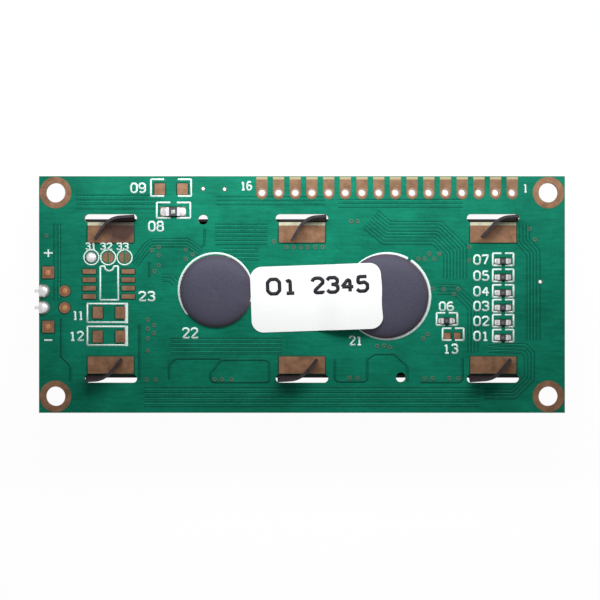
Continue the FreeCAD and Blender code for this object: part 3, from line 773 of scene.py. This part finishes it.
# Strokes of each figure, in a field 4 wide and 6 high.
FIGURES = {
    "0": [[(1, 0), (3, 0), (4, 1.3), (4, 4.7), (3, 6), (1, 6), (0, 4.7), (0, 1.3), (1, 0)]],
    "1": [[(0.7, 4.7), (2, 6), (2, 0)], [(0.7, 0), (3.3, 0)]],
    "2": [[(0, 4.6), (0.3, 5.5), (1.2, 6), (2.9, 6), (4, 5.1), (4, 4), (0, 0), (4, 0), (4, 0.8)]],
    "3": [
        [(0, 5), (0.8, 6), (3, 6), (3.9, 5.2), (3.9, 4), (3, 3.2), (1.6, 3.2)],
        [(2.6, 3.2), (4, 2.5), (4, 0.9), (3, 0), (0.9, 0), (0, 1)],
    ],
    "4": [[(3, 0), (3, 6), (0, 2)], [(0, 2), (4.3, 2)]],
    "5": [[(3.8, 6), (0.6, 6), (0.4, 3.3), (2.9, 3.7), (4, 2.8), (4, 1), (3, 0), (0.9, 0), (0, 0.9)]],
    "6": [
        [(3.6, 5.4), (2.9, 6), (1.2, 6), (0, 4.7), (0, 1.1)]
        + [(1, 0), (3, 0), (4, 1), (4, 2.5), (3, 3.4), (0.2, 3.2)],
    ],
    "7": [[(0, 5.2), (0, 6), (4, 6), (1.5, 0)]],
    "8": [
        [(1.1, 3.2), (0.2, 3.9), (0.2, 5.2), (1.1, 6), (2.9, 6)]
        + [(3.8, 5.2), (3.8, 3.9), (2.9, 3.2), (1.1, 3.2)],
        [(1.1, 3.2), (0, 2.3), (0, 0.9), (1, 0), (3, 0), (4, 0.9), (4, 2.3), (2.9, 3.2)],
    ],
    "9": [
        [(0.4, 0.6), (1.1, 0), (2.8, 0), (4, 1.3), (4, 4.9)]
        + [(3, 6), (1, 6), (0, 5), (0, 3.5), (1, 2.6), (3.8, 2.8)],
    ],
    "+": [[(0, 3), (4, 3)], [(2, 0.6), (2, 5.4)]],
    "-": [[(0, 3), (4, 3)]],
}


def number_lines(words, x, y, length, width, stroke, turn=0.0):
    """The strokes of a plain number that fills a length and a width round its middle."""
    figure_width, figure_height, pitch = 4, 6, 5.6
    row = figure_width + pitch * (len(words) - 1)
    across = (length - stroke) / row
    up = (width - stroke) / figure_height
    cos, sin = math.cos(math.radians(turn)), math.sin(math.radians(turn))
    for place, figure in enumerate(words):
        for line in FIGURES[figure]:
            corners = []
            for u, v in line:
                u = (u + pitch * place - row / 2) * across
                v = (v - figure_height / 2) * up
                corners.append((x + u * cos - v * sin, y + u * sin + v * cos))
            yield corners


def printed_numbers():
    """Plain numbers beside the parts, each with its middle, length and width."""
    large = [
        ("09", -24.93, 16.22, 2.4, 1.62),
        ("08", -22.21, 10.39, 2.44, 1.66),
        ("23", -23.63, -0.27, 2.6, 1.6),
        ("11", -34.05, -3.13, 1.7, 1.6),
        ("12", -34.3, -6.33, 2.2, 1.6),
        ("22", -17.03, -5.86, 2.5, 1.74),
        ("21", 8.2, -7.01, 2.1, 1.58),
        ("06", 21.98, -1.81, 2.33, 1.51),
        ("13", 22.64, -8.26, 2.29, 1.59),
        ("+", -38.6, 6.3, 1.6, 1.7),
        ("-", -38.6, -6.96, 1.5, 1.7),
    ]
    for node, words in zip(SMALL_RESISTORS, ("07", "05", "04", "03", "02", "01")):
        large.append((words, 27.28, middle_of(node).y + 0.22, 2.44, 1.6))
    small = [
        ("31", -32.13, 7.33, 1.7, 1.2),
        ("32", -29.8, 7.33, 1.9, 1.2),
        ("33", -27.33, 7.33, 1.9, 1.2),
        ("16", -8.47, 16.54, 1.75, 1.45),
        ("1", 34.02, 16.2, 0.75, 1.45),
    ]
    for name, labels, width, corner in (
        ("printed_numbers", large, 0.26, 0.08),
        ("printed_small_numbers", small, 0.22, 0.05),
    ):
        lines = [line for label in labels for line in number_lines(*label, width)]
        strokes(name, lines, BACK, width, PRINT + 0.001, corner, "print")
    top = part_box(LARGE_RESISTOR)[1].z / MM
    width = 0.1
    lines = list(number_lines("10", -19.6, 12.6, 0.62, 0.6, width))
    strokes("resistor_numbers", lines, top, width, 0.008, 0.02, "print")


# Mask, tracks and small holes

# Buses of tracks: how many, how far apart, and the path of their middle.
BUSES = [
    (7, 0.5, [(10.4, 11.5), (12.9, 9.4), (20.6, 9.4), (23.3, 6.7), (23.3, 2.4)]),
    (4, 0.72, [(-24.0, -15.55), (27.0, -15.55)]),
    (3, 0.5, [(27.8, -15.1), (32.2, -15.1), (34.6, -12.7), (34.6, -9.0), (33.8, -8.2), (28.4, -8.0)]),
    (4, 0.5, [(33.6, 10.6), (33.6, 8.2), (35.2, 6.4), (35.2, -7.0)]),
    (5, 0.62, [(-13.2, 9.2), (-5.2, 9.2)]),
    (3, 0.6, [(-12.0, 6.2), (-6.6, 6.2)]),
    (3, 0.42, [(-25.6, 4.6), (-23.6, 7.2), (-22.8, 7.9), (-17.4, 7.9), (-15.4, 6.4)]),
    (3, 0.7, [(-34.4, 14.1), (-21.4, 14.1)]),
    (2, 0.6, [(-13.0, 14.3), (3.5, 14.3)]),
    (2, 0.6, [(5.5, 13.9), (24.5, 13.9)]),
    (4, 0.6, [(-20.0, -7.8), (-3.0, -7.8)]),
    (2, 0.5, [(-37.2, 10.8), (-37.2, -1.0)]),
    (2, 0.55, [(-21.3, 2.6), (-20.0, 2.6), (-19.2, 1.8)]),
    (3, 0.5, [(20.6, 0.8), (23.4, 0.8), (26.0, -1.8), (26.0, -8.8)]),
]

# Wide gaps between fields of copper.
GAPS = [
    [(-24.7, -4.6), (-24.7, -13.0)],
    [(-20.2, -13.0), (-20.2, -10.7), (-19.2, -9.7), (-11.6, -9.7)],
    [(-13.9, -13.3), (-13.9, -11.9), (-12.3, -9.9), (-5.0, -9.9), (-5.0, -13.3), (-13.9, -13.3)],
    [(5.0, -9.8), (5.0, -13.2), (9.9, -13.2), (9.9, -9.8), (11.1, -9.0), (14.0, -9.0)]
    + [(16.0, -10.8), (16.0, -13.2)],
    [(-14.8, 10.0), (-14.8, 7.8), (-16.2, 6.4)],
    [(18.0, -13.3), (24.4, -13.3), (24.4, -9.6)],
    [(-23.2, 5.0), (-23.2, 2.6)],
    [(-36.6, -3.6), (-36.6, -9.4), (-35.2, -10.8), (-35.2, -13.2)],
]


def beside(path, shift):
    """The path moved sideways, to its left where the shift is positive."""
    points = [Vector(point) for point in path]
    ways = [(two - one).normalized() for one, two in zip(points, points[1:])]
    moved = []
    for number, point in enumerate(points):
        before, after = ways[max(0, number - 1)], ways[min(number, len(ways) - 1)]
        side = (before + after).orthogonal().normalized()
        moved.append(tuple(point + side * (shift / side.dot(before.orthogonal()))))
    return moved


# Small plated holes between the layers.
VIAS = [
    (-22.8, 6.73), (-21.81, 7.22), (-21.81, 5.98), (-21.81, 4.41), (-22.45, 3.53), (-17.66, 6.8),
    (-16.64, 6.08), (-17.66, 5.4), (-4.27, 8.04), (-2.37, 7.19), (-1.27, 7.19), (-0.19, 7.19),
    (0.83, 7.19), (2.0, 7.19), (3.16, 7.19), (-23.47, -3.87), (-22.51, -4.72), (-23.47, -5.26),
    (-22.51, -5.91), (-23.47, -6.73), (-23.47, -8.59), (-13.29, -12.93), (-12.18, -12.93),
    (-10.72, -12.93), (-23.68, -12.93), (-22.31, -13.0), (7.51, 11.12), (8.44, 11.12), (25.51, 7.22),
    (34.66, 9.98), (35.46, 8.36), (17.7, 5.42), (18.66, 5.42), (19.36, 6.2), (20.9, 6.2),
    (20.17, 5.42), (25.49, 5.16), (23.82, 0.83), (23.13, 0.05), (21.57, 0.77), (19.88, 0.87),
    (18.43, -6.73), (19.15, -6.08), (11.43, -7.87), (12.51, -7.8), (13.4, -8.04), (7.22, -12.69),
    (8.44, -12.69), (18.66, -12.83), (19.88, -12.76), (22.42, -12.76), (23.82, -12.76), (-38.91, 8.91),
]


def mask_relief():
    """Mask over tracks and gaps, which shows as faint lines, and rings of small plated holes."""
    bend, thin, thick = 0.6, 0.003, 0.012
    tracks, beds = [], []
    for count, pitch, path in BUSES:
        tracks += [beside(path, (n - (count - 1) / 2) * pitch) for n in range(count)]
        beds += [beside(path, (n - count / 2) * pitch) for n in range(count + 1)]
    strokes("mask_beside_tracks", beds, BACK, 0.22, thin, bend, "mask_in_gap")
    strokes("mask_over_tracks", tracks, BACK, 0.2, thick, bend, "mask_on_track")
    strokes("mask_in_gaps", GAPS, BACK, 0.45, thin, bend, "mask_in_gap")
    top = BACK + 0.034
    rings("small_hole_rings", VIAS, BACK, top, 0.14, 0.34, "mask_on_via")
    tinned = [(-15.04, 16.08), (-11.77, 16.01), (36.25, 1.91)]
    rings("tinned_hole_rings", tinned, BACK, top, 0.02, 0.24, "tin")
    rings("tinned_hole_rims", tinned, BACK, BACK + 0.02, 0.24, 0.38, "mask_on_via")


# Middle, length and width of the bare pads with a square outline.
PADS = [
    *((x, 16.05, 1.6, 1.7) for x in (-21.62, -18.18)),
    *((x, y, 1.5, 1.8) for y in (-2.75, -6.4) for x in (-31.07, -27.62)),
    *((x, -6.3, 1.0, 0.95) for x in (22.1, 23.6)),
    *((-38.6, y, 1.8, 1.8) for y in (3.35, -4.9)),
    *((x, y, *HOOK_PAD) for y in (9.2, -10.73) for x in HOOKS_X),
    *((x, 3.5 - 1.27 * n, 2.0, 0.7) for x in (-32.35, -26.45) for n in range(4)),
]


def pad_edges():
    """The mask stops a little short of each pad, so a dark rim of bare laminate runs round it."""
    thin = 0.005
    lines = []
    for x, y, length, width in PADS:
        lines.append(box_line(x - length / 2, x + length / 2, y - width / 2, y + width / 2))
    for node in [*SMALL_RESISTORS, LARGE_RESISTOR]:
        low, high = (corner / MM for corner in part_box(node))
        lines.append(box_line(low.x - 0.25, high.x + 0.25, low.y - 0.05, high.y + 0.05))
    strokes("bare_rims", lines, BACK, 0.36, thin, 0.15, "mask_at_pads")
    places = [(-36.1, y) for y in LEADS_Y]
    rings("bare_round_rims", places, BACK, BACK + thin, 0.7, 1.02, "mask_at_pads")


def filled_holes():
    """Plated holes in four of the backlight's pads, each filled, with a red rim and a tinned middle."""
    places = [(-38.68, 3.3), (-38.64, -4.9), (-36.08, 0.56), (-36.08, -2.04)]
    top = PAD_TOP + 0.02
    rings("filled_hole_rims", places, PAD_TOP, top, 0.42, 0.58, "red_copper")
    profile = ((0.22, 0.045), (0.4, 0.03), (0.42, 0))
    shape = Shape()
    for x, y in places:
        sides = [circle(x, y, radius, PAD_TOP + rise) for radius, rise in profile]
        shape.loops([[(x, y, PAD_TOP + 0.048)], *sides, [(x, y, PAD_TOP)]])
    shape.piece("filled_hole_middles", "tinned_copper", "copper", smooth=True)


# Copper, solder and chips


def bare_laminate():
    """Strips beside the slots that have no mask and no copper."""
    y, length, width, thin = 10.71, HOOK_PAD[0], 0.58, 0.012
    shape = Shape()
    for x in HOOKS_X:
        outline = box_line(x - length / 2, x + length / 2, y - width / 2, y + width / 2)[:-1]
        shape.prism(outline, BACK, BACK + thin)
    shape.piece("bare_laminate_strips", "laminate", "board")


def hole_plating():
    """Thin copper in the connector and mounting holes."""
    thin = 0.01
    connector = [(x, CONNECTOR_Y) for x in CONNECTOR_X]
    for name, places, radius in (
        ("connector_hole_plating", connector, CONNECTOR_HOLE),
        ("mounting_hole_plating", MOUNTS, MOUNT_HOLE),
    ):
        rings(name, places, 0, BACK, radius - thin, radius, "copper")


def solder_drops():
    """Solder on the resistors' pads: it climbs the cap, runs out hollow and is rounded at its sides."""
    rows, columns = 10, 8
    belly, edge = 0.05, 0.004
    shape = Shape()
    parts = [(node, 0.45, 0.84) for node in SMALL_RESISTORS] + [(LARGE_RESISTOR, 0.9, 1.4)]
    for node, run, width in parts:
        low, high = (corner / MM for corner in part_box(node))
        rise = (high.z - low.z) * 0.8
        y = (low.y + high.y) / 2
        for side, x in ((-1, low.x), (1, high.x)):
            loops = []
            for row in range(rows + 1):
                share = row / rows
                out = x + side * run * share
                half = width / 2 * math.sqrt(max(0.0, 1 - (share * 0.96) ** 4))
                climb = rise * (1 - share) ** 1.7 + belly * (1 - share**3) + edge
                loop = []
                for column in range(columns + 1):
                    across = -1 + 2 * column / columns
                    loop.append((out, y + half * across, PAD_TOP + climb * (1 - 0.55 * across**4)))
                loop += [(out, y + half, PAD_TOP), (out, y - half, PAD_TOP)]
                loops.append(loop if side > 0 else loop[::-1])
            start = shape.loops(loops)
            count = len(loops[0])
            shape.faces.append([start + n for n in range(count)])
            shape.faces.append([start + rows * count + n for n in range(count)][::-1])
    shape.piece("resistor_solder_drops", "solder", "solder", ["resistor_solder"], smooth=True)


def dome(shape, x, y, radius, height, cut_x=None, lean=0.0):
    """A drop of solder on a round pad, with its top moved to one side and its foot cut off at an edge."""
    rows = 16
    loops = [[(x + lean, y, PAD_TOP + height)]]
    for row in range(1, rows + 1):
        share = row / rows
        level = PAD_TOP + height * (1 - share**2.4) ** 0.8
        loop = []
        for corner_x, corner_y, _ in circle(0, 0, radius * share, 0):
            place = x + corner_x + lean * (1 - share)
            loop.append((place if cut_x is None else max(cut_x, place), y + corner_y, level))
        loops.append(loop)
    loops.append([(x, y, PAD_TOP)])
    shape.loops(loops)


def solder_domes():
    """Solder over the first jumper, and over the backlight's two leads at the board's edge."""
    shape = Shape()
    dome(shape, JUMPERS_X[0], JUMPER_Y, 0.85, 0.5)
    shape.piece("jumper_solder_dome", "solder", "solder", ["jumper_solder"], smooth=True)
    shape = Shape()
    for y in LEADS_Y:
        dome(shape, -39.34, y, 1.04, 0.9, -BOARD_X, 0.1)
    shape.piece("lead_solder_domes", "solder", "solder", ["backlight_lead_solder"], smooth=True)


def sticker():
    """Paper laid from the board up over the large cover, with a soft bend at each end of its slope."""
    degrees = 2.0
    turn = math.radians(degrees)
    length, width, corner, thick = 19.9, 10.0, 1.8, 0.1
    centre_x, centre_y = 2.18, -0.5
    ramp_start, ramp_end, rise = 1.6, 6.9, 1.33
    columns, rows = 80, 40

    def rounded(u, v):
        """A place in a square of 1 by 1 moved into the sheet with its round corners."""
        x, y = (u - 0.5) * length, (v - 0.5) * width
        far = abs(y) - (width / 2 - corner)
        inset = corner - math.sqrt(max(0.0, corner**2 - far**2)) if far > 0 else 0.0
        return x * (1 - 2 * inset / length), y

    def level(x):
        share = max(0.0, min(1.0, (x - ramp_start) / (ramp_end - ramp_start)))
        return BACK + rise * share * share * (3 - 2 * share)

    under, over = [], []
    for row in range(rows + 1):
        for column in range(columns + 1):
            v = 0.5 - 0.5 * math.cos(math.pi * row / rows)
            x, y = rounded(column / columns, v)
            x += 0.05 * math.sin(1.3 * y) * max(0.0, 2 * x / length) ** 8
            place_x = centre_x + x * math.cos(turn) - y * math.sin(turn)
            place_y = centre_y + x * math.sin(turn) + y * math.cos(turn)
            height = level(place_x)
            under.append((place_x, place_y, height))
            over.append((place_x, place_y, height + thick))
    shape = Shape()
    across = columns + 1
    count = len(under)
    faces = []
    for row in range(rows):
        for column in range(columns):
            a = row * across + column
            b, c, d = a + 1, a + across + 1, a + across
            faces.append((count + a, count + b, count + c, count + d))
            faces.append((a, d, c, b))
    rim = list(range(across))
    rim += [row * across + columns for row in range(1, rows + 1)]
    rim += [rows * across + n for n in range(columns - 1, -1, -1)]
    rim += [row * across for row in range(rows - 1, 0, -1)]
    for a, b in zip(rim, rim[1:] + rim[:1]):
        faces.append((a, b, count + b, count + a))
    shape.add(under + over, faces)
    shape.piece("paper_sticker", "paper", "white_paper", ["sticker"])
    pen = 0.55
    lines = list(number_lines("01", -3.05, 1.25, 4.9, 2.75, pen, degrees))
    lines += number_lines("2345", 5.75, 1.5, 8.9, 2.75, pen, degrees)
    ink = strokes("sticker_numbers", lines, 0.001, pen, 0.006, 0.25, "ink", 6)
    for vertex in ink.data.vertices:
        vertex.co.z += (level(vertex.co.x / MM) + thick) * MM


def mounting_copper():
    """Flat rings round the mounting holes, on both sides of the board."""
    shape = Shape()
    for x, y in MOUNTS:
        for high in (0, PAD_TOP):
            low = high - COPPER
            section = [(MOUNT_HOLE, high), (MOUNT_RING, high), (MOUNT_RING, low), (MOUNT_HOLE, low)]
            shape.loops([circle(x, y, radius, z, 64) for radius, z in section], True)
    shape.piece("mounting_hole_copper", "copper", "copper", ["mounting_hole_rings"])


def connector_copper():
    """Pads with straight sides and a round end on the back, and rings on the front."""
    half, top, round_y, sides = 0.85, 2.4, -0.15, 48
    corners = [math.atan2(top, half), math.atan2(top, -half)]
    turns = sorted([2 * math.pi * n / sides for n in range(sides)] + corners)

    def reach(turn):
        """How far the pad's outline lies from the hole's middle."""
        dx, dy = math.cos(turn), math.sin(turn)
        far = min(half / max(abs(dx), 1e-9), top / dy if dy > 0 else 99.0)
        if far * dy < round_y:
            across = dy * round_y
            far = across + math.sqrt(across**2 - round_y**2 + half**2)
        return far

    def loop(x, distances, z):
        return [
            (x + far * math.cos(turn), CONNECTOR_Y + far * math.sin(turn), z)
            for turn, far in zip(turns, distances)
        ]

    shape = Shape()
    hole = [CONNECTOR_HOLE] * len(turns)
    pad = [reach(turn) for turn in turns]
    ring = [half] * len(turns)
    for x in CONNECTOR_X:
        for outline, low, high in ((pad, BACK, PAD_TOP), (ring, -COPPER, 0)):
            edges = (hole, high), (outline, high), (outline, low), (hole, low)
            shape.loops([loop(x, distances, z) for distances, z in edges], True)
    shape.piece("connector_pads", "rim_copper", "copper", ["connector_hole_pads"])


def chip_cover(name, node, centre, radius, reach, dents, seed):
    """A drop of epoxy: nearly flat, with a slightly uneven edge and a soft shoulder.

    Its foot is cut off at x = reach. Each dent has its place and width as shares of the radius, and its
    depth.
    """
    sides, rows = 96, 40
    low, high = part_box(node)
    centre = Vector(centre)
    height = (high.z - low.z) / MM
    draw = random.Random(seed)
    waves = [(n, draw.uniform(0, 6.28), draw.uniform(0.2, 1.0) / n) for n in (2, 3, 5, 7)]
    total = sum(size for _, _, size in waves)

    def foot(turn):
        swing = sum(size * math.sin(n * turn + phase) for n, phase, size in waves) / total
        far = radius * (0.99 + 0.01 * swing)
        return min(far, (reach - centre.x) / math.cos(turn)) if math.cos(turn) > 0 else far

    def level(share):
        """How high the drop stands at a share of its radius."""
        swell = (1 - share**3.4) ** (1 / 2.2)
        dimple = sum(depth * math.exp(-((share - at) / width) ** 2) for at, width, depth in dents)
        return height * swell - dimple

    turns = [2 * math.pi * n / sides for n in range(sides)]
    loops = [[(centre.x, centre.y, BACK + level(0))]]
    for row in range(1, rows + 1):
        share = math.sin(math.pi / 2 * row / rows)
        loop = []
        for turn in turns:
            far = foot(turn) * share
            x, y = centre.x + far * math.cos(turn), centre.y + far * math.sin(turn)
            loop.append((x, y, BACK + level(share)))
        loops.append(loop)
    loops.append([(centre.x, centre.y, BACK)])
    shape = Shape()
    shape.loops(loops)
    shape.piece(name, "epoxy", "epoxy", [node], smooth=True)


def dress(node, material):
    """Gives a CAD node that stays in view its finish."""
    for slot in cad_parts[node].material_slots:
        slot.material = material


camera()
floor()
sky()
lamp("key", (0.003, 0.032, 0.036), (0.003, 0.012, 0.0), 0.09, 0.02, 0.047)

for look, nodes in {
    "board": ["circuit_board"],
    "copper": ["hook_pads"],
    "pad_copper": ["bare_component_pads", "soldered_pads", "backlight_pads"],
    "steel": ["bezel"],
    "film": ["front_polariser", "rear_polariser"],
    "glass": ["front_glass", "rear_glass"],
    "glue": ["fill_port_plug"],
    "white_film": ["diffuser_film", "reflector_film"],
    "guide": ["light_guide"],
    "frame": ["backlight_frame"],
    "lamp": ["backlight_lamp"],
    "tin": ["backlight_lead_upper", "backlight_lead_lower"],
    "rubber": ["contact_strip_upper", "contact_strip_lower"],
    "paper": ["sticker"],
    "solder": ["backlight_lead_solder", "resistor_solder", "jumper_solder"],
}.items():
    for node in nodes:
        dress(node, materials[look])
for number, node in enumerate(SMALL_RESISTORS, 1):
    dress(node, resistor_look(f"resistor_{number}", node, 0.3))
dress(LARGE_RESISTOR, resistor_look("resistor_large", LARGE_RESISTOR, 0.4))

mask_relief()
pad_edges()
bare_laminate()
filled_holes()
hole_plating()
mounting_copper()
connector_copper()
solder_drops()
solder_domes()
sticker()
printed_outlines()
printed_numbers()
chip_cover("epoxy_cover_large", "chip_cover_large", (12.78, -0.26), 6.5, 19.4, [], 3)
chip_cover("epoxy_cover_small", "chip_cover_small", (-13.05, 0.48), 5.55, -7.95, [(0, 0.05, 0.06)], 8)

bpy.context.scene.view_settings.view_transform = "Standard"
